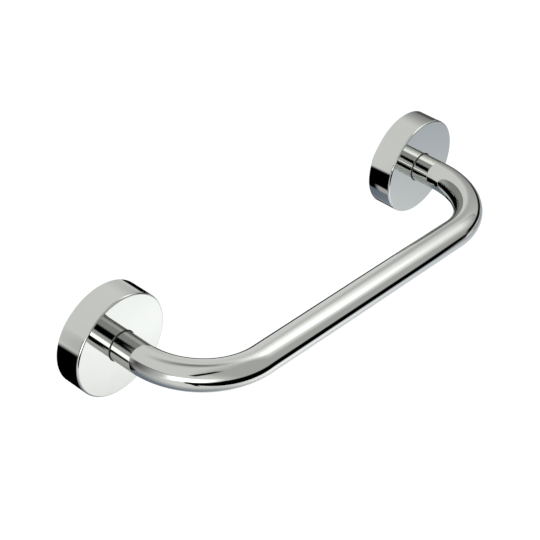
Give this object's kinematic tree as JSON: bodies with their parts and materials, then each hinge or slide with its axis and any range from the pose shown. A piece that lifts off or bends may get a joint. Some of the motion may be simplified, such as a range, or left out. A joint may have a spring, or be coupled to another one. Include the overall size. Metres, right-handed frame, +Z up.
{
  "type": "grab bar",
  "caption": "Wall-mounted grab bar: a U-bent chrome tube between deep round flange covers, each clamped on a hidden slotted wall plate by a grub screw from below.",
  "frame": {"origin": "on the wall, midway between the two flange axes", "axes": "+X along the bar, +Y into the wall, +Z up"},
  "size_m": [0.36, 0.095, 0.07],
  "materials": {
    "chrome_tube": "bright chrome plate, mirror polished",
    "chrome_flange": "bright chrome plate outside, duller inside the cup",
    "seal_rubber": "black rubber",
    "plug_brass": "turned brass",
    "screw_steel": "stainless steel",
    "plate_casting": "precision-cast stainless steel, blasted"
  },
  "bodies": {
    "root": {"grip_tube": "chrome_tube", "left_flange_cover": "chrome_flange", "right_flange_cover": "chrome_flange", "left_seal_ring": "seal_rubber", "right_seal_ring": "seal_rubber", "left_tube_plug": "plug_brass", "right_tube_plug": "plug_brass", "left_hub_screw": "screw_steel", "right_hub_screw": "screw_steel", "left_spring_washer": "screw_steel", "right_spring_washer": "screw_steel", "left_wall_plate": "plate_casting", "right_wall_plate": "plate_casting", "left_grub_screw": "screw_steel", "right_grub_screw": "screw_steel"}
  },
  "joints": []
}
